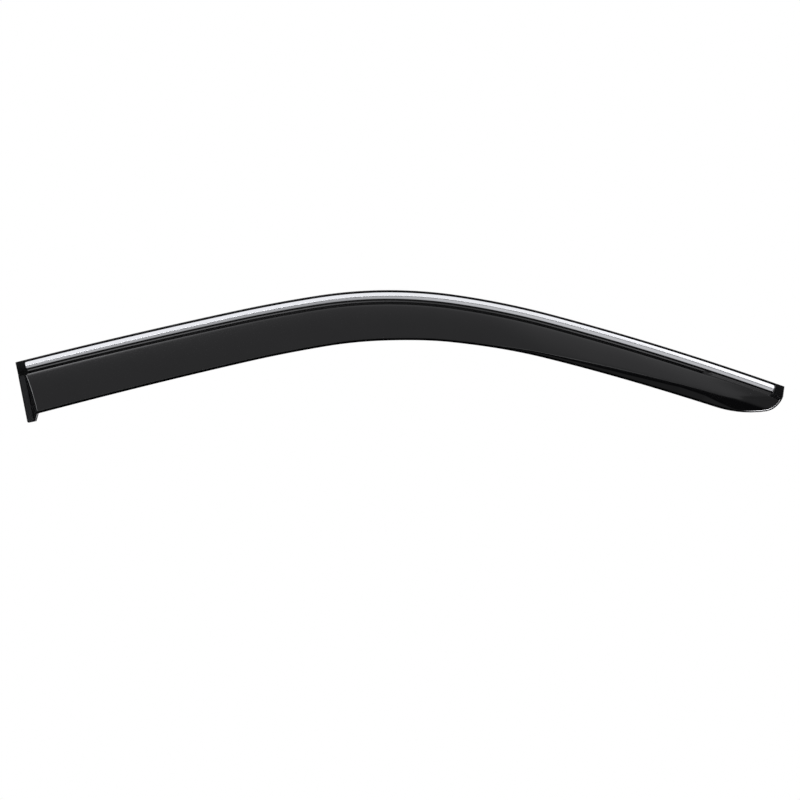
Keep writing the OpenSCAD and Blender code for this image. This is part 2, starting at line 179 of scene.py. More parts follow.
def outline(q):
    """Bottom outline: under the edge up to the nose, along the nose's arcs, then up the leaning front end."""
    q = np.asarray(q, float)
    (s0, d0), (s1, d1) = DEPTHS[-2:]
    x, z = below(np.minimum(q, s1), depth_at(np.minimum(q, s1)))
    ex, ez = below(s1, d1)
    heading = float(edge(s1)[2]) + math.atan((d1 - d0) / (s1 - s0))
    nx, nz, _ = on_runs((float(ex), float(ez), heading), NOSE_RUNS, np.clip(q - s1, 0, NOSE_END - s1))
    up = np.maximum(q - NOSE_END, 0)
    nx, nz = nx + up * math.sin(END_LEAN), nz + up * math.cos(END_LEAN)
    return np.where(q > s1, nx, x), np.where(q > s1, nz, z)


def smooth(t):
    """Eases from 0 to 1 with level ends: t squared times (3 - 2 t)."""
    t = np.clip(t, 0, 1)
    return t * t * (3 - 2 * t)


def soft_ramp(value, soft):
    """The positive part of a value with its corner eased: soft times log(1 + exp(value / soft))."""
    return soft * np.logaddexp(0, value / soft)


def round_drop(gap, radius):
    """Drop of a quarter-round edge at a gap inside it: r - sqrt(r squared - (r - gap) squared), and 0 past
    r."""
    t = radius - np.clip(gap, 0, radius)
    return radius - np.sqrt(radius**2 - t**2)


def spaced(*knots):
    """Runs of evenly spaced numbers, each (from, to, count), without the last of each run but the final
    one."""
    parts = [np.linspace(a, b, n, endpoint=False) for a, b, n in knots]
    return np.concatenate(parts + [[knots[-1][1]]])


def arc(cx, cy, r, a0, a1, n):
    """n points round a centre from angle a0 to a1 in degrees, with 0 along depth and 90 along height."""
    a = np.radians(np.linspace(a0, a1, n))
    return np.stack([cx + r * np.cos(a), cy + r * np.sin(a)], 1)


def front_station(depth):
    """Station at which the curve a depth below the edge reaches the front end's outline, found on a fine
    table."""
    ox, oz = outline(np.linspace(NOSE_START, NOSE_END + END_REACH, 4000))
    s = np.linspace(430.0, 474.0, 881)[:, None]
    x, z = below(s, np.atleast_1d(depth)[None, :])
    inside = x < np.interp(z, oz, ox)
    return s[np.maximum(np.count_nonzero(inside, 0) - 1, 0), 0]


def nearest(x, z, tx, tz, block=4000):
    """Index of the nearest point of a table, and the distance to it, for every given point."""
    fx, fz = x.ravel(), z.ravel()
    i, best = np.empty(fx.size, int), np.empty(fx.size)
    for a in range(0, fx.size, block):
        gap = (fx[a : a + block, None] - tx) ** 2 + (fz[a : a + block, None] - tz) ** 2
        i[a : a + block], best[a : a + block] = gap.argmin(1), np.sqrt(gap.min(1))
    return i.reshape(x.shape), best.reshape(x.shape)


def edge_place(x, z):
    """Station and depth of points, from the nearest place on a fine table of the roof-side edge."""
    table = np.linspace(-REAR_L - 10, FRONT_L + 20, 3000)
    ex, ez, eh = edge(table)
    i, _ = nearest(x, z, ex, ez)
    dx, dz = x - ex[i], z - ez[i]
    depth = -dx * np.sin(eh[i]) - dz * np.cos(eh[i])
    return table[i] + dx * np.cos(eh[i]) - dz * np.sin(eh[i]), depth


def post_point(across, down):
    """x and z of a point in the post's own frame: across it, and down it from the rear end of the edge."""
    x, z, _ = edge(-REAR_L)
    px = x + across * math.cos(POST_LEAN) + down * math.sin(POST_LEAN)
    return px, z + across * math.sin(POST_LEAN) - down * math.cos(POST_LEAN)


def in_post(x, z):
    """The reverse of post_point: across and down."""
    ox, oz, _ = edge(-REAR_L)
    dx, dz = x - ox, z - oz
    across = dx * math.cos(POST_LEAN) + dz * math.sin(POST_LEAN)
    return across, dx * math.sin(POST_LEAN) - dz * math.cos(POST_LEAN)


def return_at(height):
    """Place of the return wall's outer face across the post: a straight draft above the root."""
    return POST_FLAT_W + RETURN_ROOT + (height - FLANGE_H) * math.tan(RETURN_DRAFT)


# Meshes


def grid_faces(rows, cols, wrap=False):
    """Quads of a grid of points held row after row; wrap joins the last column to the first."""
    r = np.arange(rows - 1)[:, None]
    c = np.arange(cols if wrap else cols - 1)[None, :]
    n = (c + 1) % cols
    quads = np.stack([r * cols + c, r * cols + n, (r + 1) * cols + n, (r + 1) * cols + c], -1)
    return quads.reshape(-1, 4)


def tube(x, h, z):
    """Rings of points, one a row, as a closed tube: its points in millimetres and its faces, ends
    included."""
    rows, cols = x.shape
    ends = np.arange(cols)[::-1], (rows - 1) * cols + np.arange(cols)
    points = np.stack(np.broadcast_arrays(x, -h, z), -1).reshape(-1, 3)
    return points, grid_faces(rows, cols, wrap=True).tolist() + [end.tolist() for end in ends]


def swept(station, depth, height):
    """A tube whose rings are given by station, depth and height arrays, one ring a row."""
    station, depth, height = np.broadcast_arrays(station, depth, height)
    x, z = below(station, depth)
    return tube(x, height, z)


def add_piece(name, parts, node, material, sharp=35.0):
    """Makes one object from parts, each (points, faces); merges doubles, turns faces outward and rides it
    on root."""
    points, faces, start = [], [], 0
    for part_points, part_faces in parts:
        points += (part_points * MM).tolist()
        faces += [[start + i for i in face] for face in part_faces]
        start += len(part_points)
    mesh = bpy.data.meshes.new(name)
    mesh.from_pydata(points, [], faces)
    bm = bmesh.new()
    bm.from_mesh(mesh)
    bmesh.ops.remove_doubles(bm, verts=bm.verts, dist=1e-6)
    bmesh.ops.dissolve_degenerate(bm, edges=bm.edges, dist=1e-7)
    bmesh.ops.recalc_face_normals(bm, faces=bm.faces)
    bm.to_mesh(mesh)
    bm.free()
    mesh.shade_smooth()
    mesh.set_sharp_from_angle(angle=math.radians(sharp))
    mesh.materials.append(material)
    piece = bpy.data.objects.new(name, mesh)
    bpy.context.scene.collection.objects.link(piece)
    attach(piece, "root")
    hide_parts(node)
    return piece


# Materials


def add_node(tree, kind, links=(), **settings):
    """Adds a node; settings name its attributes or, where no attribute has the name, its input sockets.
    Each link is (input socket, other node, other node's output socket)."""
    node = tree.nodes.new(kind)
    for key, value in settings.items():
        if hasattr(node, key):
            setattr(node, key, value)
        else:
            node.inputs[key.replace("_", " ")].default_value = value
    for socket, other, out in links:
        tree.links.new(other.outputs[out], node.inputs[socket])
    return node


def new_material(name):
    """An empty node material with its output, and the Object coordinates that its patterns read."""
    material = bpy.data.materials.new(name)
    material.use_nodes = True
    tree = material.node_tree
    tree.nodes.clear()
    out = add_node(tree, "ShaderNodeOutputMaterial")
    return material, tree, out, add_node(tree, "ShaderNodeTexCoord")


def two_tones(tree, fac, low, high, low_at=0.0, high_at=1.0):
    """A ramp between two linear colours over a pattern's value."""
    ramp = add_node(tree, "ShaderNodeValToRGB", [("Fac", *fac)])
    ends = ramp.color_ramp.elements
    ends[0].position, ends[0].color = low_at, low
    ends[1].position, ends[1].color = high_at, high
    return ramp


def surface(material, tree, out, links, **settings):
    """Ends a material with its Principled shader."""
    shader = add_node(tree, "ShaderNodeBsdfPrincipled", links, **settings)
    tree.links.new(shader.outputs["BSDF"], out.inputs["Surface"])
    return material


def smoked_acrylic(look):
    """Smoked acrylic, injection moulded in a polished tool: near black and glossy, with a faint ripple of
    flow. The attribute satin marks the post's face, which the tool's fine blasting leaves satin and a
    shade paler."""
    material, tree, out, coords = new_material("smoked_acrylic_polished")
    flow = add_node(tree, "ShaderNodeTexNoise", [("Vector", coords, "Object")], Scale=18.0, Detail=2.0)
    tone = two_tones(tree, (flow, "Fac"), (*look.deep, 1), (*look.pale, 1), 0.35, 0.65)
    satin = add_node(tree, "ShaderNodeAttribute", attribute_name="satin")
    body = add_node(tree, "ShaderNodeMix", [("Factor", satin, "Fac"), (6, tone, "Color")], data_type="RGBA")
    body.inputs[7].default_value = (*look.satin, 1)
    rough = add_node(
        tree, "ShaderNodeMapRange", [("Value", satin, "Fac")], To_Min=look.roughness, To_Max=0.42,
    )
    # orange peel of a moulded surface, about 1.5 mm across and a hair deep
    peel = add_node(tree, "ShaderNodeTexNoise", [("Vector", coords, "Object")], Scale=650.0, Detail=1.0)
    bump = add_node(tree, "ShaderNodeBump", [("Height", peel, "Fac")], Strength=0.02, Distance=0.0002)
    links = [("Base Color", body, 2), ("Roughness", rough, "Result"), ("Normal", bump, "Normal")]
    return surface(material, tree, out, links, IOR=1.49, Specular_IOR_Level=0.27)


def bright_stainless(look):
    """Bright-annealed stainless, roll formed: a near mirror with fine drawn lines along its length."""
    material, tree, out, _ = new_material("stainless_bright_annealed")
    # drawn lines about 0.6 mm apart across the strip, coarser than real ones so that they show
    rolled = add_node(tree, "ShaderNodeAttribute", attribute_name="rolled")
    lines = add_node(tree, "ShaderNodeMapping", [("Vector", rolled, "Vector")], Scale=(0.01, 1.7, 1.0))
    grain = add_node(tree, "ShaderNodeTexNoise", [("Vector", lines, "Vector")], Scale=1.0, Detail=2.0)
    rough = add_node(tree, "ShaderNodeMapRange", [("Value", grain, "Fac")], To_Min=0.1, To_Max=0.15)
    links = [("Roughness", rough, "Result")]
    return surface(material, tree, out, links, Base_Color=(*look.metal, 1), Metallic=1.0)


def black_abs(look):
    """Black ABS moulded in a lightly sparked tool: satin, with a fine even grain about 0.5 mm across."""
    material, tree, out, coords = new_material("abs_black_satin")
    grain = add_node(tree, "ShaderNodeTexNoise", [("Vector", coords, "Object")], Scale=2000.0, Detail=2.0)
    tone = two_tones(tree, (grain, "Fac"), (*look.dark, 1), (*look.light, 1), 0.3, 0.7)
    bump = add_node(tree, "ShaderNodeBump", [("Height", grain, "Fac")], Strength=0.15, Distance=0.0001)
    links = [("Base Color", tone, "Color"), ("Normal", bump, "Normal")]
    return surface(material, tree, out, links, Roughness=0.34, IOR=1.54, Specular_IOR_Level=0.06)


def foam_tape(look):
    """Closed-cell acrylic foam tape, slit from a log: dark grey and matt, with cells of about 0.3 mm."""
    material, tree, out, coords = new_material("acrylic_foam_tape")
    cells = add_node(tree, "ShaderNodeTexVoronoi", [("Vector", coords, "Object")], Scale=3000.0)
    tone = two_tones(tree, (cells, "Distance"), (*look.foam_dark, 1), (*look.foam_light, 1))
    bump = add_node(tree, "ShaderNodeBump", [("Height", cells, "Distance")], Strength=0.3, Distance=0.0001)
    links = [("Base Color", tone, "Color"), ("Normal", bump, "Normal")]
    return surface(material, tree, out, links, Roughness=0.85, IOR=1.48)


def release_liner(look):
    """Red polyethylene release film, blown and slit: a soft sheen, with faint draw lines 2 mm apart."""
    material, tree, out, coords = new_material("polyethylene_release_film")
    lines = add_node(tree, "ShaderNodeMapping", [("Vector", coords, "Object")], Scale=(20.0, 500.0, 500.0))
    draw = add_node(tree, "ShaderNodeTexNoise", [("Vector", lines, "Vector")], Scale=1.0, Detail=2.0)
    tone = two_tones(tree, (draw, "Fac"), (*look.liner_dark, 1), (*look.liner_light, 1))
    bump = add_node(tree, "ShaderNodeBump", [("Height", draw, "Fac")], Strength=0.2, Distance=0.0001)
    links = [("Base Color", tone, "Color"), ("Normal", bump, "Normal")]
    return surface(material, tree, out, links, Roughness=0.35, IOR=1.5)


# The shield


def front_face(x, z, depth):
    """Face that falls toward the nose at a steady slope, then follows an arc tangent to it down to the
    tip; its height depends on the distance along the front end of the edge. Above the crest line it also
    falls toward the edge, by as much as keeps its tilt toward the roof steady."""
    nx, nz = outline(NOSE_END)
    heading = float(edge(FRONT_L)[2])
    centre = DOME_H - DOME_R
    reach = math.sqrt(DOME_R**2 - (TIP_H - centre) ** 2)
    along = (x - nx) * math.cos(heading) - (z - nz) * math.sin(heading) + reach
    meet, meet_h = DOME_R * math.sin(FRONT_FALL), centre + DOME_R * math.cos(FRONT_FALL)
    on_arc = np.clip(along, meet, 0.9 * DOME_R)
    under = np.sqrt(DOME_R**2 - on_arc**2)
    fall = np.where(along < meet, meet_h + (meet - along) * math.tan(FRONT_FALL), centre + under)
    tilt = (math.tan(CREST_TILT) + on_arc / under * math.sin(heading)) / math.cos(heading)
    return fall - tilt * smooth((along - CREST_FROM) / CREST_OVER) * soft_ramp(CREST_D - depth, 1.0)


def face_height(x, z, look, rim=True):
    """Outer face of the panel over the door's plane: the lower of the section's arc and the front face,
    joined by a soft minimum; less a shallow roll toward the bottom edge; less, for the rim, a steep band
    along the edge that turns into two facets round the nose, and the round at the crease."""
    station, depth = edge_place(x, z)
    arc_h = PANEL_H + np.sqrt(np.maximum(PANEL_R**2 - (PANEL_D - np.minimum(depth, PANEL_D)) ** 2, 0))
    front = front_face(x, z, depth)
    height = front - soft_ramp(front - arc_h, ARC_EASE)
    _, gap = nearest(x, z, *outline(np.linspace(-REAR_L - 20, NOSE_END + END_REACH, 4500)))
    roll = np.interp(station, ROLL_AT, ROLL_W) - gap
    height = height - math.tan(look.roll_slope) * soft_ramp(roll, ROLL_EASE)
    if rim:
        nose = smooth((station - NOSE_FROM) / NOSE_OVER)
        slope = np.tan(look.rim_slope + (look.nose_slope - look.rim_slope) * nose)
        height = height - slope * soft_ramp(look.rim_w / MM - 0.4 * nose - gap, RIM_EASE)
        height = height - nose * FACET_SLOPE * soft_ramp(FACET_W - gap, RIM_EASE)
        height = height - round_drop(depth - CREASE_D, look.crease_r / MM) * (1 - groove_fill(station))
    return height


def groove_fill(station):
    """Share of the groove that is filled: none along the door, all of it toward the nose."""
    return smooth((station - (FRONT_L - PLAIN_FRONT - 6)) / 10)


# Width of the shallow roll at stations along the edge
ROLL_AT = (60.0, 145.0, 190.0, 238.0, 286.0, 334.0, 346.0, 376.0, 400.0, 412.0, 424.0)
ROLL_W = (0.0, 2.6, 4.2, 4.8, 6.0, 8.4, 9.6, 9.0, 5.4, 2.6, 0.0)


def rail_profile():
    """Rail from its back corner over the lip, the strip's channel and the ledge, which leans toward the
    roof."""
    r, lean = 0.25, LEDGE_LEAN
    low = (LEDGE_D + r, LEDGE_H - r - (GROOVE_D - LEDGE_D - 2 * r) * math.tan(math.radians(lean)))
    return np.concatenate([
        [(INSET, BACK_H), (INSET, LEDGE_H - 0.2)],
        arc(INSET + 0.2, LEDGE_H - 0.2, 0.2, 180, 90, 3),
        arc(LIP_W - 0.12, LEDGE_H - 0.12, 0.12, 90, 0, 3),
        [(LIP_W, FLOOR_H), (LEDGE_D, FLOOR_H)],
        arc(*low, r, 180, 90 + lean, 7),
        [(low[0] + 0.06, low[1] + r + 0.003), (GROOVE_D - r - 0.06, LEDGE_H - 0.003)],
        arc(GROOVE_D - r, LEDGE_H - r, r, 90 + lean, 0, 7),
    ])


def post_rings(top):
    """Outer and inner (across, height) of the post for each height of the panel's rear edge, from that
    edge down the wall, round its root and over the flat to the outer side; climb says how far up the wall
    a column is."""
    wall = np.array([1.0, 0.97, 0.92, 0.8, 0.6, 0.4, 0.2, 0.0])
    root = np.radians(90 - math.degrees(RETURN_DRAFT)) * np.linspace(1, 0, 9)[1:]
    root_x, root_h = POST_FLAT_W + ROOT_R * np.sin(root), FLANGE_H + ROOT_R * (1 - np.cos(root))
    flat = np.concatenate([
        [(5.5, FLANGE_H), (3.5, FLANGE_H)],
        arc(1.1, FLANGE_H - 1.1, 1.1 - INSET, 90, 180, 9) + (0, INSET),
    ])
    foot_h = FLANGE_H + ROOT_R * (1 - math.sin(RETURN_DRAFT))
    wall_h = foot_h + np.maximum(top - foot_h, 0)[None, :] * wall[:, None]
    ones = np.ones(top.size)
    outer_x = np.concatenate([return_at(wall_h), root_x[:, None] * ones, flat[:, :1] * ones])
    outer_h = np.concatenate([wall_h, root_h[:, None] * ones, flat[:, 1:] * ones])
    side = PANEL_T / math.cos(RETURN_DRAFT)
    inner_wall = BACK_H + np.maximum(top - PANEL_T - BACK_H, 0)[None, :] * wall[:, None]
    back_x = np.linspace(float(return_at(BACK_H)) + side, flat[0, 0], len(root_x) + 2)[1:-1]
    inner_x = np.concatenate([return_at(inner_wall) + side, back_x[:, None] * ones, flat[:, :1] * ones])
    inner_h = np.concatenate([inner_wall, np.full((len(root_x) + len(flat), top.size), BACK_H)])
    climb = np.concatenate([wall, np.zeros(len(root_x) + len(flat))])
    return outer_x, outer_h, inner_x, inner_h, climb


def crossing(curve, a, b, across):
    """Parameter between a and b at which a curve reaches a place across the post."""
    t = np.linspace(a, b, 400)
    places, _ = in_post(*curve(t))
    order = np.argsort(places)
    return float(np.interp(across, places[order], t[order]))


def tip_parameter(s_tip):
    """Parameter of the outline where the crease runs out on it."""
    q = np.linspace(NOSE_START, NOSE_END + END_REACH, 4000)
    ox, oz = outline(q)
    ex, ez = below(s_tip, CREASE_D)
    return q[np.argmin((ox - ex) ** 2 + (oz - ez) ** 2)]


def shield_skin(look):
    """The shield as one closed skin on one grid: rings of points run from the rail's back corner over its
    face and the panel to the bottom edge and back inside; the rings follow the edge, then turn down the
    wall onto the post."""
    width = 46.0
    near = np.array([0.0, 0.02, 0.06, 0.12, 0.2, 0.3, 0.42, 0.55, 0.7, 1.0, 1.6]) / width
    far = spaced((13.0, 4.0, 12), (4.0, 0.2, 19), (0.2, 0.0, 2)) / width
    w = np.concatenate([near, np.linspace(2.6 / width, 1 - 14.0 / width, 22), 1 - far])
    # where the crease and the outline meet the wall and the front end
    s_wall = crossing(lambda s: below(s, CREASE_D), -REAR_L, -REAR_L + 20, return_at(LEDGE_H))
    q_wall = crossing(outline, -REAR_L, -REAR_L + 40, return_at(PANEL_H + PANEL_R - 0.6))
    s_tip = float(front_station(CREASE_D)[0])
    q_tip = tip_parameter(s_tip)
    cap_rear, cap_front = CAP_L + CAP_GAP - REAR_L, FRONT_L - CAP_L - CAP_GAP
    s = spaced(
        (s_wall, s_wall + 1.2, 9), (s_wall + 1.2, cap_rear + 0.6, 2), (cap_rear + 0.6, cap_rear + 0.62, 1),
        (cap_rear + 0.62, -180, 60), (-180, 190, 90), (190, 360, 60), (360, cap_front, 60),
        (cap_front, cap_front + 0.02, 1), (cap_front + 0.02, s_tip, 40),
    )
    share = np.clip((s - 300.0) / (s_tip - 300.0), 0, 1)
    q = s + (q_wall - s_wall) * (1 - smooth((s - s_wall) / 80)) + (q_tip - s_tip) * share**2.2
    tx, tz = below(s, CREASE_D)
    bx, bz = outline(q)
    px = tx[:, None] * (1 - w) + bx[:, None] * w
    pz = tz[:, None] * (1 - w) + bz[:, None] * w
    # the rear rings bow out to lie along the top of the wall
    corner_r = look.corner_r / MM
    ax, az = in_post(px[0], pz[0])
    for _ in range(3):
        top = face_height(*[p[None] for p in post_point(ax, az)], look)[0]
        ax = return_at(np.maximum(top - corner_r, FLANGE_H))
    bow = (ax - in_post(px[0], pz[0])[0])[None, :] * (1 - smooth((s - s_wall) / 60))[:, None]
    px, pz = px + bow * math.cos(POST_LEAN), pz + bow * math.sin(POST_LEAN)
    from_wall = in_post(px, pz)[0] - ax[None, :]
    ph = np.maximum(face_height(px, pz, look) - round_drop(from_wall, corner_r), BACK_H + 0.3)
    ih = np.minimum(face_height(px, pz, look, rim=False) - look.wall / MM, ph - 0.3)
    ih = np.maximum(ih, BACK_H)
    # rings of the wall and the post
    o_x, o_h, i_x, i_h, climb = post_rings(ph[0])
    down0, down1 = (in_post(px[0, i], pz[0, i])[1] for i in (0, -1))
    foot = down1 + (POST_L - INSET - down1) * (1 - climb[:, None])
    level = (in_post(px[0], pz[0])[1] - down0) / (down1 - down0)
    drop = down0 + (foot - down0) * level[None, :]
    corner = 1.3 * np.clip((drop - POST_L + POST_CORNER_R) / POST_CORNER_R, 0, 1) ** 2
    wx, wz = post_point(o_x + corner * np.clip(1 - o_x / POST_CORNER_R, 0, 1), drop)
    i_x = i_x + corner * np.clip(1 - i_x / POST_CORNER_R, 0, 1)
    mx, mz = post_point(i_x, drop)
    vx, vz = post_point(i_x, drop - look.foot_round / MM * (climb[:, None] > 0) * (level >= 1))
    # the rail's part of every ring
    rail = rail_profile()
    post_s = np.linspace(s_wall, -REAR_L, len(climb) + 1)[1:]
    all_s = np.concatenate([post_s[::-1], s])
    rs = np.repeat(all_s[:, None], len(rail), 1)
    rs = rs + (front_station(rail[:, 0]) - s_tip)[None, :] * smooth((rs - 420) / (s_tip - 420))
    rx, rz = below(rs, rail[None, :, 0])
    rh = np.broadcast_to(rail[None, :, 1], rx.shape).copy()
    capped = (all_s < cap_rear + 0.61) | (all_s > cap_front + 0.01)
    rh[capped] = np.minimum(rh[capped], FLOOR_H)
    # the groove between the ledge and the crease, filled toward the nose by a plane in line with the ledge
    fill = groove_fill(all_s)
    ledge = LEDGE_H - LEDGE_DROP + (rail[:, 0] - GROOVE_D) * math.tan(math.radians(LEDGE_LEAN))
    on_ledge = rail[:, 0] > LEDGE_D + 0.2
    rh = np.where(on_ledge & (fill[:, None] > 0), rh + (ledge - rh) * fill[:, None], rh)
    floor = GROOVE_H + (LEDGE_H - LEDGE_DROP - GROOVE_H) * fill
    floor = np.where(capped | (all_s < cap_rear + FOOT_REACH), np.minimum(floor, FLOOR_H), floor)
    floor = np.minimum(floor, np.concatenate([o_h[::-1, 0], ph[:, 0]]))
    gx, gz = below(rs[:, -1], GROOVE_D)
    cx, cz = np.concatenate([wx[::-1, 0], px[:, 0]]), np.concatenate([wz[::-1, 0], pz[:, 0]])
    near_crease = 0.99 - 0.6 * smooth((all_s - (FRONT_L - PLAIN_FRONT - 24)) / 26)
    fx, fz = gx + (cx - gx) * near_crease, gz + (cz - gz) * near_crease
    rings = []
    for rail_part, ground, crease, outer_post, outer, uncut, inner_post, inner in (
        (rx, gx, fx, wx, px, mx, vx, px),
        (rz, gz, fz, wz, pz, mz, vz, pz),
        (rh, floor, floor, o_h, ph, i_h, i_h, ih),
    ):
        over, under = np.concatenate([outer_post[::-1], outer]), np.concatenate([inner_post[::-1], inner])
        middle = (over[:, -1:] + np.concatenate([uncut[::-1], inner])[:, -1:]) / 2
        ring = [rail_part, ground[:, None], crease[:, None], over, middle, under[:, ::-1]]
        rings.append(np.concatenate(ring, 1))
    x, z, h = rings
    h[:, -1] = BACK_H
    return tube(x, np.maximum(h, BACK_H), z)


def mesh_points(mesh):
    """x, y and z of a mesh's points in millimetres."""
    co = np.empty(len(mesh.vertices) * 3)
    mesh.vertices.foreach_get("co", co)
    return (co / MM).reshape(-1, 3).T


def mark_rolled(mesh):
    """Attribute rolled: station and depth in millimetres, for the lines that run along the strip."""
    x, _, z = mesh_points(mesh)
    station, depth = edge_place(x, z)
    value = np.stack([station, depth, np.zeros_like(depth)], -1)
    rolled = mesh.attributes.new("rolled", "FLOAT_VECTOR", "POINT")
    rolled.data.foreach_set("vector", value.ravel().astype(np.float32))


def mark_satin(mesh):
    """Attribute satin: 1 on the front of the post's flat, fading to 0 over the root of the wall."""
    x, y, z = mesh_points(mesh)
    across, down = in_post(x, z)
    facing = (-y > FLANGE_H - 0.5) & (down > CREASE_D)
    value = smooth((across - 0.9) / 0.3) * (1 - smooth((across - POST_FLAT_W) / 0.6))
    value = np.where(facing, value * (1 - smooth((down - POST_L + 1.2) / 0.6)), 0.0)
    mesh.attributes.new("satin", "FLOAT", "POINT").data.foreach_set("value", value.astype(np.float32))


# The strip, the caps and the tapes


# Shift of the strip's ridge, as a share of its width, at stations along the edge
RIDGE_AT = (-300.0, 0.0, 180.0, 240.0, 330.0, 400.0, 450.0)
RIDGE_SHIFT = (0.05, 0.0, -0.05, -0.1, -0.1, -0.04, 0.0)


def strip_rings(look):
    """The strip's section carried along the edge. Its slope falls steadily over an upper and a lower face
    with a fine ridge between them, and its height is the running sum of that slope; the corners are round
    in plan."""
    start, end = CAP_L + STRIP_GAP - REAR_L, FRONT_L - CAP_L - STRIP_GAP
    r = look.corner_r / MM
    close = r * (1 - np.cos(np.linspace(0, math.pi / 2, 7)))
    s = np.concatenate([start + close, np.linspace(start + r + 1, end - r - 1, 240), end - close[::-1]])
    s = s[:, None]
    ridge = look.ridge + np.interp(s, RIDGE_AT, RIDGE_SHIFT)
    upper, lower = np.linspace(0, 1, 12), np.linspace(0, 1, 10)
    upper_u, lower_u = upper * (ridge - 0.04), ridge + 0.05 + lower * (0.95 - ridge)
    u = np.concatenate([upper_u, ridge + (-0.02, 0, 0.02), lower_u], 1)
    slope = np.radians(np.concatenate([24 - 15 * upper, [4, -3, -8], -13 - 18 * lower]))
    rise = np.tan(slope) * STRIP_W
    steps = (rise[1:] + rise[:-1]) / 2 * np.diff(u, axis=1)
    high = np.concatenate([np.zeros_like(s), np.cumsum(steps, 1)], 1)
    high += FLOOR_H + STRIP_H - high.max(1, keepdims=True)
    d = STRIP_TOP_D + u * STRIP_W
    high -= round_drop(np.minimum(d - STRIP_TOP_D, STRIP_TOP_D + STRIP_W - d), 0.22)
    middle = STRIP_TOP_D + STRIP_W / 2
    inner_d = middle + (d - middle) * (STRIP_W - 2 * STRIP_T) / STRIP_W
    inner_h = np.maximum(high - STRIP_T, FLOOR_H + 0.02)
    base = np.full_like(s, FLOOR_H)
    depth = np.concatenate([d[:, :1], d, d[:, -1:], inner_d[:, -1:], inner_d[:, ::-1], inner_d[:, :1]], 1)
    height = np.concatenate([base, high, base, base, inner_h[:, ::-1], base], 1)
    cut = round_drop(np.minimum(s - start, end - s), r)
    return swept(s, np.clip(depth, STRIP_TOP_D + cut, STRIP_TOP_D + STRIP_W - cut), height)


def rounded_run(s0, s1, r, n, close_n):
    """Places from s0 to s1: even ones between, and closer ones within the round of radius r at each end."""
    close = r * (1 - np.cos(np.linspace(0, math.pi / 2, close_n)))
    return np.concatenate([s0 + close, np.linspace(s0 + r, s1 - r, n)[1:-1], s1 - close[::-1]])


def rounded_bar(s0, s1, d0, d1, h0, h1, r, to_front=False):
    """A bar along the edge between two stations, depths and heights, whose top corners and ends are rounded:
    within r of an end the section shrinks toward its base by the drop of a quarter round."""
    section = np.concatenate([
        [(d0, h0)], arc(d0 + r, h1 - r, r, 180, 90, 6), arc(d1 - r, h1 - r, r, 90, 0, 6), [(d1, h0)],
    ])
    s = rounded_run(s0, s1, r, 10, 7)
    shrink = round_drop(np.minimum(s - s0, s1 - s), r)[:, None]
    middle = (d0 + d1) / 2
    depth = middle + (section[:, 0] - middle)[None, :] * (1 - 2 * shrink / (d1 - d0))
    height = h0 + (section[:, 1] - h0)[None, :] * (1 - shrink / (h1 - h0))
    station = np.repeat(s[:, None], len(section), 1)
    if to_front:
        station = s0 + (station - s0) * (front_station(section[:, 0]) - 0.05 - s0)[None, :] / (s1 - s0)
    return swept(station, depth, height)


def cap_parts(look, front):
    """One end cap: its body over the rail, its foot in the groove and its tongue inside the strip."""
    r = look.edge_r / MM
    body_end, inner = (FRONT_L, FRONT_L - CAP_L) if front else (-REAR_L, CAP_L - REAR_L)
    side = -1 if front else 1
    spans = {
        "body": sorted((body_end + side * INSET, inner)),
        "foot": sorted((body_end + side * 0.6, inner + side * FOOT_REACH)),
        "tongue": sorted((body_end + side * 3.0, inner + side * TONGUE_L)),
    }
    middle = STRIP_TOP_D + STRIP_W / 2
    return [
        rounded_bar(*spans["body"], INSET, GROOVE_D, FLOOR_H, FLOOR_H + CAP_H, r, front),
        rounded_bar(*spans["foot"], GROOVE_D - 1.2, CREASE_D - CAP_GAP,
                    FLOOR_H + 0.01, FLOOR_H + FOOT_H, 0.35, front),
        rounded_bar(*spans["tongue"], middle - TONGUE_W / 2, middle + TONGUE_W / 2,
                    FLOOR_H + 0.01, FLOOR_H + TONGUE_H, 0.2),
    ]


def band_section(width, low, thick, bulge, n=7):
    """Half-sections of a slit band: flat faces, and sides that swell by the bulge at mid thickness."""
    t = np.linspace(-1, 1, n)
    swell = bulge * (np.sqrt(np.maximum(1 - t * t, 0)) - 1)
    right = np.stack([width / 2 + swell, low + thick * (t + 1) / 2], 1)
    left = right[::-1] * (-1, 1)
    return np.concatenate([right, left])


def rail_band(s0, s1, low, thick, bulge, corner):
    """A band on the back of the rail, with corners round in plan."""
    section = band_section(TAPE_W, low, thick, bulge)
    s = rounded_run(s0, s1, corner, 80, 5)
    cut = round_drop(np.minimum(s - s0, s1 - s), corner)[:, None]
    half = TAPE_W / 2
    depth = TAPE_D + np.clip(section[None, :, 0], cut - half, half - cut)
    return swept(s[:, None], depth, section[None, :, 1])


def post_band(over, low, thick, bulge, corner):
    """A band on the back of the post, with corners round in plan."""
    section = band_section(POST_TAPE_W, low, thick, bulge)
    top = CREASE_D + 2 * LINER_OVER - over
    foot = POST_L - POST_CORNER_R - LINER_OVER + over
    s = rounded_run(top, foot, corner, 12, 5)
    cut = round_drop(np.minimum(s - top, foot - s), corner)[:, None]
    half = POST_TAPE_W / 2
    across = POST_FLAT_W / 2 + np.clip(section[None, :, 0], cut - half, half - cut)
    x, z = post_point(across, s[:, None])
    return tube(x, np.broadcast_to(section[None, :, 1], x.shape), z)


# Settings


def length(name, description, default):
    """A length setting, given in millimetres."""
    return bpy.props.FloatProperty(name=name, description=description, default=default * MM, unit="LENGTH",
                                   precision=5)


def paint(name, description, default):
    """A colour setting, given as an sRGB hex value."""
    return bpy.props.FloatVectorProperty(name=name, description=description, default=colour(default)[:3],
                                         subtype="COLOR", min=0, max=1)


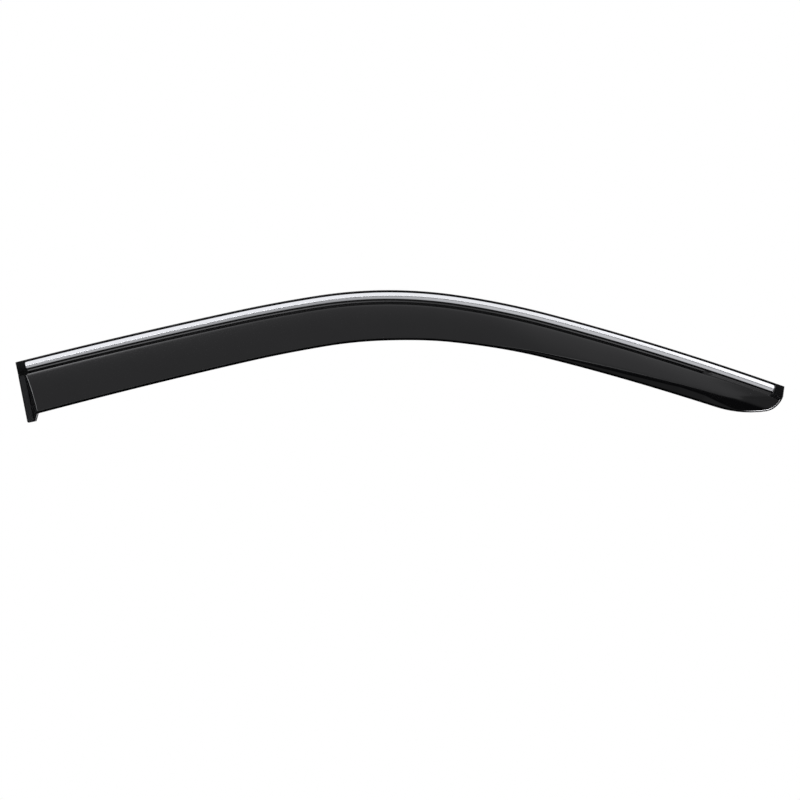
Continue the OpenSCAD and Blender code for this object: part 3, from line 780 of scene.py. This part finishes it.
def angle(name, description, default):
    """An angle setting, given in degrees."""
    return bpy.props.FloatProperty(name=name, description=description, default=math.radians(default),
                                   subtype="ANGLE")


class DEFLECTOR_PG_shield(bpy.types.PropertyGroup):
    """Sizes and colours of the shield."""

    wall: length("Wall", "Wall thickness of the panel", PANEL_T)
    crease_r: length("Crease radius", "Radius of the panel's upper edge", 0.3)
    corner_r: length("Corner radius", "Radius where the panel turns onto the rear wall", 0.8)
    foot_round: length("Foot round", "Cut-back of the inner edge at the foot of the rear wall", 0.7)
    rim_w: length("Rim width", "Width of the steep rim along the bottom edge", 2.3)
    rim_slope: angle("Rim slope", "Slope of the rim along the door", 50)
    nose_slope: angle("Nose slope", "Slope of the rim's upper facet round the nose", 39)
    roll_slope: angle("Roll slope", "Slope of the shallow roll above the rim", 17)
    deep: paint("Deep tone", "Darker tone of the smoke", "#040405")
    pale: paint("Pale tone", "Paler tone of the smoke", "#070708")
    satin: paint("Satin tone", "Tone of the post's satin face", "#07080a")
    roughness: bpy.props.FloatProperty(name="Roughness", description="Roughness of the polish", default=0.11,
                                       subtype="FACTOR", min=0, max=1)


class DEFLECTOR_PG_strip(bpy.types.PropertyGroup):
    """Sizes and colour of the bright strip."""

    ridge: bpy.props.FloatProperty(name="Ridge", description="Share of the width above the ridge",
                                   default=0.52, subtype="FACTOR", min=0.3, max=0.8)
    corner_r: length("Corner radius", "Corner radius at the strip's ends", 2.0)
    metal: paint("Metal", "Colour of the metal", "#eeeff1")


class DEFLECTOR_PG_caps(bpy.types.PropertyGroup):
    """Sizes and colours of the end caps."""

    edge_r: length("Edge radius", "Radius of the caps' edges", 1.1)
    dark: paint("Dark tone", "Darker tone of the grain", "#050506")
    light: paint("Light tone", "Paler tone of the grain", "#090a0b")


class DEFLECTOR_PG_tape(bpy.types.PropertyGroup):
    """Sizes and colours of the bonding tape and its liner."""

    bulge: length("Bulge", "Swell of the tape's slit sides", 0.12)
    foam_dark: paint("Foam, dark", "Tone inside the foam's cells", "#2c2c2e")
    foam_light: paint("Foam, light", "Tone of the foam's skin", "#434447")
    liner_dark: paint("Liner, dark", "Darker tone of the film", "#a8121a")
    liner_light: paint("Liner, light", "Paler tone of the film", "#bf1d25")


class DEFLECTOR_PG_stage(bpy.types.PropertyGroup):
    """Sizes and levels of the stage."""

    floor_drop: length("Floor drop", "Depth of the floor below the part's origin", 640)
    fill: bpy.props.FloatProperty(name="Fill", description="Level of the even light all round", default=0.6,
                                  min=0, max=1)


# Operators


class DEFLECTOR_OT_shield(bpy.types.Operator):
    """Builds the smoked shield over its solid"""

    bl_idname = "deflector.shield"
    bl_label = "Shield"

    def execute(self, context):
        look = context.scene.deflector_shield
        skin = shield_skin(look)
        piece = add_piece("shield_skin", [skin], "visor_shield", smoked_acrylic(look), 30.0)
        mark_satin(piece.data)
        return {"FINISHED"}


class DEFLECTOR_OT_strip(bpy.types.Operator):
    """Builds the bright strip"""

    bl_idname = "deflector.strip"
    bl_label = "Bright strip"

    def execute(self, context):
        look = context.scene.deflector_strip
        metal = bright_stainless(look)
        piece = add_piece("strip_trim", [strip_rings(look)], "bright_strip", metal, 40.0)
        mark_rolled(piece.data)
        return {"FINISHED"}


class DEFLECTOR_OT_caps(bpy.types.Operator):
    """Builds the two end caps"""

    bl_idname = "deflector.caps"
    bl_label = "End caps"

    def execute(self, context):
        look = context.scene.deflector_caps
        plastic = black_abs(look)
        for name, node, front in (("cap_rear", "rear_end_cap", False), ("cap_front", "front_end_cap", True)):
            add_piece(name, cap_parts(look, front), node, plastic)
        return {"FINISHED"}


class DEFLECTOR_OT_tape(bpy.types.Operator):
    """Builds the four lengths of bonding tape with their liners, and finishes the foam under the strip"""

    bl_idname = "deflector.tape"
    bl_label = "Bonding tape"

    def execute(self, context):
        look = context.scene.deflector_tape
        foam, film = foam_tape(look), release_liner(look)
        bulge = look.bulge / MM
        bands = {
            "rear": (TAPE_END - REAR_L, -TAPE_CROWN - TAPE_BREAK),
            "crown": (-TAPE_CROWN, TAPE_CROWN),
            "front": (TAPE_CROWN + TAPE_BREAK, FRONT_L - TAPE_END),
        }
        for name, (s0, s1) in bands.items():
            tape = rail_band(s0, s1, LINER_T, TAPE_T, bulge, 0.3)
            liner = rail_band(s0 - LINER_OVER, s1 + LINER_OVER, 0.0, LINER_T, 0.0, 1.2)
            add_piece(f"tape_{name}", [tape], f"rail_tape_{name}", foam)
            add_piece(f"film_{name}", [liner], f"liner_{name}", film)
        add_piece("tape_post", [post_band(0.0, LINER_T, TAPE_T, bulge, 0.3)], "post_tape", foam)
        liner = post_band(LINER_OVER / 2, 0.0, LINER_T, 0.0, 0.8)
        add_piece("film_post", [liner], "liner_post", film)
        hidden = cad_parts["strip_tape"].data.materials
        hidden.clear()
        hidden.append(foam)
        return {"FINISHED"}


# Stage

# Metres: the sphere of light's radius, the nose card's radius and centre (x, z), the picture's width
SKY_R, CARD_R, CARD_X, CARD_Z, VIEW_W = 6.0, 0.175, 0.415, -0.101, 0.896


def maths(tree, operation, first, second):
    """A Math node over two inputs, each a (node, output) pair or a number."""
    node = add_node(tree, "ShaderNodeMath", operation=operation)
    for socket, value in zip(node.inputs, (first, second)):
        if isinstance(value, tuple):
            tree.links.new(value[0].outputs[value[1]], socket)
        else:
            socket.default_value = value
    return node, "Value"


def band(tree, value, rise_from, rise_to):
    """A smooth step of a value from 0 to 1 between two places."""
    node = add_node(tree, "ShaderNodeMapRange", [("Value", *value)], interpolation_type="SMOOTHSTEP",
                    From_Min=rise_from, From_Max=rise_to)
    return node, "Result"


def step(value, start, end):
    """Smooth step of a value from 0 at start to 1 at end, either way round."""
    return smooth((value - start) / (end - start))


def sky_level(e, x, y, z):
    """Light of the studio in a direction (x, y, z) that stands e degrees above the camera's side about the
    length axis: a wide soft box above, its bright far edge, a strip box in front, a card below and two
    small cards."""
    past = step(x, 0.427, 0.438)
    box = np.interp(e, [1.5, 8.5, 45, 60, 77, 120, 140], [0, 0.97, 0.98, 1.0, 1.08, 0.5, 0])
    box *= (1 + 0.32 * step(x, 0.2, 0.3) + 0.2 * step(x, 0.36, 0.39)) * (1 - 0.6 * past)
    far_edge = step(e, 77.6, 79.6) * step(e, 118, 108) * (1 - past)
    far_edge *= np.interp(x, [-0.38, -0.335, -0.287, -0.25, -0.2], [9.5, 5.5, 2.6, 1.4, 0.9])
    front = step(e, 2.4, 3.4) * step(e, 8.5, 7.0)
    share, lit = (-0.3, -0.2, -0.045, -0.01, 0.05, 0.09, 0.15, 0.2), (0, 5.0, 5.0, 2.0, 1.2, 3.6, 3.6, 0.4)
    front *= np.interp(x, share, lit)
    below_box = np.interp(e, [-75, -68, -56, -50, -26, -20], [0, 0.25, 0.4, 0.56, 0.62, 0])
    below_box *= (1 - 0.42 * step(x, -0.15, 0.1)) * step(np.abs(x), 0.6, 0.4)
    foot = 1.8 * step(e, -160, -157) * step(e, -143, -147)
    left = 12.5 * step(x, -0.6, -0.8) * step(y, -0.6, -0.5) * step(y, 0.17, 0.1) * step(z, -0.13, -0.06)
    return 0.018 - 0.015 * step(y, -0.1, 0.2) + box + far_edge + front + below_box + foot + left


def stage_sheet(name, points):
    """A grid of points (rows, columns, 3) in metres as one open sheet of the stage."""
    mesh = bpy.data.meshes.new(name)
    mesh.from_pydata(points.reshape(-1, 3).tolist(), [], grid_faces(*points.shape[:2]).tolist())
    sheet = bpy.data.objects.new(name, mesh)
    bpy.context.scene.collection.objects.link(sheet)
    return sheet, mesh


def emitter(name, points, level):
    """A sheet that only reflections see, lit by the attribute level of its points."""
    sheet, mesh = stage_sheet(name, points)
    mesh.attributes.new("level", "FLOAT", "POINT").data.foreach_set("value", level.ravel().astype(np.float32))
    material, tree, out, _ = new_material(name + "_light")
    lit = add_node(tree, "ShaderNodeAttribute", attribute_name="level")
    light = add_node(tree, "ShaderNodeEmission", [("Strength", lit, "Fac")], Color=colour("#fcfcff"))
    tree.links.new(light.outputs["Emission"], out.inputs["Surface"])
    mesh.materials.append(material)
    for ray in ("camera", "diffuse", "transmission", "volume_scatter", "shadow"):
        setattr(sheet, f"visible_{ray}", False)


def studio_dome():
    """A sphere of light: at angles a and b a point lies at r (sin b, -cos a cos b, sin a cos b)."""
    a = spaced((-180, 0, 180), (0, 12, 48), (12, 74, 62), (74, 90, 64), (90, 180, 90))
    b = spaced((-90, -24, 33), (-24, 22, 92), (22, 28, 60), (28, 90, 31))
    e, aa, bb = a[None, :], np.radians(a)[None, :], np.radians(b)[:, None]
    x, y, z = np.broadcast_arrays(np.sin(bb), -np.cos(aa) * np.cos(bb), np.sin(aa) * np.cos(bb))
    level = sky_level(np.broadcast_to(e, x.shape), x, y, z)
    emitter("studio_dome", SKY_R * np.stack([x, y, z], -1), level)


def rim_card():
    """A ring of light round the nose, brightest below it: at angle a a point lies at r (sin a, -cos a)
    about the centre of the nose, and its two rims lie a little in front of the door's plane."""
    a = np.radians(np.linspace(-8, 100, 55))[:, None]
    y = np.linspace(-0.056, -0.012, 5)[None, :]
    points = np.stack(np.broadcast_arrays(CARD_X + CARD_R * np.sin(a), y, CARD_Z - CARD_R * np.cos(a)), -1)
    level = np.interp(np.degrees(a), [4, 18, 36, 60, 80, 98], [0, 105, 105, 50, 18, 0]) * np.ones(y.shape)
    emitter("rim_card", points, level)


def studio_floor(drop):
    """A round pale floor below the part, whose white runs out into the white all round: a disc with radius
    r."""
    r = np.array([0.0, 0.2, 0.45, 0.7])[:, None]
    a = np.linspace(0, 2 * math.pi, 97)[None, :]
    points = np.stack(np.broadcast_arrays(r * np.cos(a) * 1.3, r * np.sin(a), -drop), -1)
    floor, mesh = stage_sheet("studio_floor", points)
    material, tree, out, coords = new_material("painted_board_white")
    reach = add_node(tree, "ShaderNodeVectorMath", [(0, coords, "Object")], operation="LENGTH")
    fade = band(tree, (reach, "Value"), 0.66, 0.95)
    path = add_node(tree, "ShaderNodeLightPath")
    seen = maths(tree, "MULTIPLY", (path, "Is Camera Ray"), maths(tree, "MAXIMUM", fade, 0.6))
    board = add_node(tree, "ShaderNodeBsdfDiffuse", Color=colour("#f4f4f3"))
    white = add_node(tree, "ShaderNodeEmission", Color=(1, 1, 1, 1))
    mix = add_node(tree, "ShaderNodeMixShader", [(0, *seen), (1, board, "BSDF"), (2, white, "Emission")])
    tree.links.new(mix.outputs["Shader"], out.inputs["Surface"])
    mesh.materials.append(material)
    floor.visible_glossy = False


def soft_lamp(name, place, size, power):
    """A square soft lamp that looks at the middle of the part and shows in no reflection."""
    light = bpy.data.lights.new(name, "AREA")
    light.size, light.energy = size, power
    lamp = bpy.data.objects.new(name, light)
    bpy.context.scene.collection.objects.link(lamp)
    dx, dy, dz = (-p for p in place)
    lamp.location = place
    lamp.rotation_euler = (math.atan2(math.hypot(dx, dy), -dz), 0, math.atan2(dy, dx) - math.pi / 2)
    lamp.visible_glossy = False


class DEFLECTOR_OT_stage(bpy.types.Operator):
    """Makes the camera, the lamps, the floor and the white all round"""

    bl_idname = "deflector.stage"
    bl_label = "Stage"

    def execute(self, context):
        scene, look = context.scene, context.scene.deflector_stage
        scene.view_settings.view_transform = "Standard"
        data = bpy.data.cameras.new("camera")
        data.lens, data.sensor_width = 200.0, 36.0
        camera = bpy.data.objects.new("camera", data)
        scene.collection.objects.link(camera)
        camera.location = (0.0121, -VIEW_W * data.lens / data.sensor_width - 0.012, -0.1168)
        camera.rotation_euler = (math.radians(90), 0, 0)
        data.clip_start, data.clip_end = 0.1, 50
        scene.camera = camera
        world = bpy.data.worlds.new("studio")
        scene.world = world
        world.use_nodes = True
        tree = world.node_tree
        tree.nodes.clear()
        path = add_node(tree, "ShaderNodeLightPath")
        seen = maths(tree, "MAXIMUM", (path, "Is Camera Ray"), (path, "Is Glossy Ray"))
        seen = maths(tree, "MAXIMUM", seen, (path, "Is Transmission Ray"))
        fill = add_node(tree, "ShaderNodeBackground", Color=(1, 1, 1, 1), Strength=look.fill)
        white = add_node(tree, "ShaderNodeBackground", Color=(1, 1, 1, 1), Strength=1.0)
        links = [(0, *seen), (1, fill, "Background"), (2, white, "Background")]
        mix = add_node(tree, "ShaderNodeMixShader", links)
        add_node(tree, "ShaderNodeOutputWorld", [("Surface", mix, "Shader")])
        studio_dome()
        rim_card()
        studio_floor(look.floor_drop)
        soft_lamp("lamp_key", (-1.6, -2.4, 2.2), 1.6, 60)
        soft_lamp("lamp_side", (2.2, -2.0, 1.0), 1.4, 28)
        return {"FINISHED"}


class DEFLECTOR_PT_panel(bpy.types.Panel):
    """Lists the pieces and their settings"""

    bl_label = "Deflector"
    bl_space_type = "VIEW_3D"
    bl_region_type = "UI"
    bl_category = "Deflector"

    def draw(self, context):
        for operator, group in zip(OPERATORS, GROUPS):
            box = self.layout.box()
            box.operator(operator.bl_idname)
            settings = getattr(context.scene, GROUPS[group])
            for name in group.__annotations__:
                box.prop(settings, name)


OPERATORS = (
    DEFLECTOR_OT_shield, DEFLECTOR_OT_strip, DEFLECTOR_OT_caps, DEFLECTOR_OT_tape, DEFLECTOR_OT_stage,
)
GROUPS = {
    DEFLECTOR_PG_shield: "deflector_shield",
    DEFLECTOR_PG_strip: "deflector_strip",
    DEFLECTOR_PG_caps: "deflector_caps",
    DEFLECTOR_PG_tape: "deflector_tape",
    DEFLECTOR_PG_stage: "deflector_stage",
}
CLASSES = (*GROUPS, *OPERATORS, DEFLECTOR_PT_panel)


def register():
    """Registers the classes and hangs each group of settings on the scene."""
    for cls in CLASSES:
        bpy.utils.register_class(cls)
    for group, name in GROUPS.items():
        setattr(bpy.types.Scene, name, bpy.props.PointerProperty(type=group))


def unregister():
    """Takes the settings and the classes away again."""
    for name in GROUPS.values():
        delattr(bpy.types.Scene, name)
    for cls in reversed(CLASSES):
        bpy.utils.unregister_class(cls)


def main():
    """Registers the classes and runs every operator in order."""
    register()
    bpy.ops.deflector.shield()
    bpy.ops.deflector.strip()
    bpy.ops.deflector.caps()
    bpy.ops.deflector.tape()
    bpy.ops.deflector.stage()


if __name__ == "__main__":
    main()
